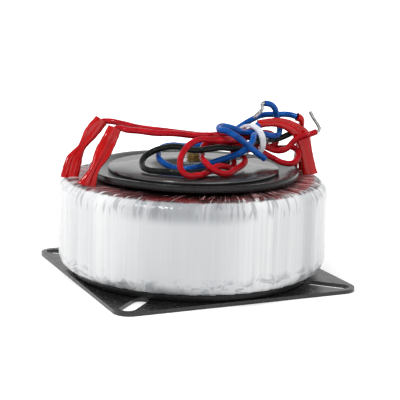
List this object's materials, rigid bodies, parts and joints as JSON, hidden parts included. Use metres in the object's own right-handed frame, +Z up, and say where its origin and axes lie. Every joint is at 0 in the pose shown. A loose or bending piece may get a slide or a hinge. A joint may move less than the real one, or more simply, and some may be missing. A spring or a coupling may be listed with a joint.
{
  "type": "toroidal transformer",
  "caption": "Toroidal mains transformer bolted between rubber pads on a square slotted plate, with sleeved flying leads folded into a tied bundle on top.",
  "frame": {"origin": "middle of the base plate's underside, on the centre bolt's axis", "axes": "+Z up along the centre bolt; +X and +Y along the square plate's two diagonals, through its slots"},
  "size_m": [0.1062, 0.1062, 0.0544],
  "materials": {
    "plate_steel": "gloss black powder coat",
    "pad_rubber": "matt",
    "core_steel": "wound strip",
    "tape": "crepe tape",
    "copper_wire": "enamelled copper wire",
    "clear_film": "clear polyester film over silver",
    "band_paper": "plain band",
    "dish_steel": "gloss black paint",
    "yellow_zinc": "yellow zinc plated steel",
    "zinc": "zinc plated",
    "red_pvc": "PVC insulation",
    "blue_pvc": "PVC insulation",
    "black_pvc": "PVC insulation",
    "sleeve_red": "heat shrink",
    "tinned_copper": "tinned",
    "tie_nylon": "nylon"
  },
  "bodies": {
    "root": {"base_plate": "plate_steel", "lower_pad": "pad_rubber", "core": "core_steel", "core_tape": "tape", "primary_winding": "copper_wire", "interlayer_film": "clear_film", "secondary_winding": "copper_wire", "printed_band": "band_paper", "film_wrap": "clear_film", "upper_pad": "pad_rubber", "clamp_dish": "dish_steel", "centre_bolt": "yellow_zinc", "plain_washer": "zinc", "spring_washer": "zinc", "hex_nut": "zinc", "red_lead_a": "red_pvc", "red_lead_b": "red_pvc", "blue_lead_a": "blue_pvc", "blue_lead_b": "blue_pvc", "black_lead": "black_pvc", "red_a_sleeve": "sleeve_red", "red_b_sleeve": "sleeve_red", "blue_a_sleeve": "sleeve_red", "blue_b_sleeve": "sleeve_red", "black_sleeve": "sleeve_red", "red_b_tip": "tinned_copper", "blue_b_tip": "tinned_copper", "black_tip": "tinned_copper", "cable_tie": "tie_nylon"}
  },
  "joints": []
}
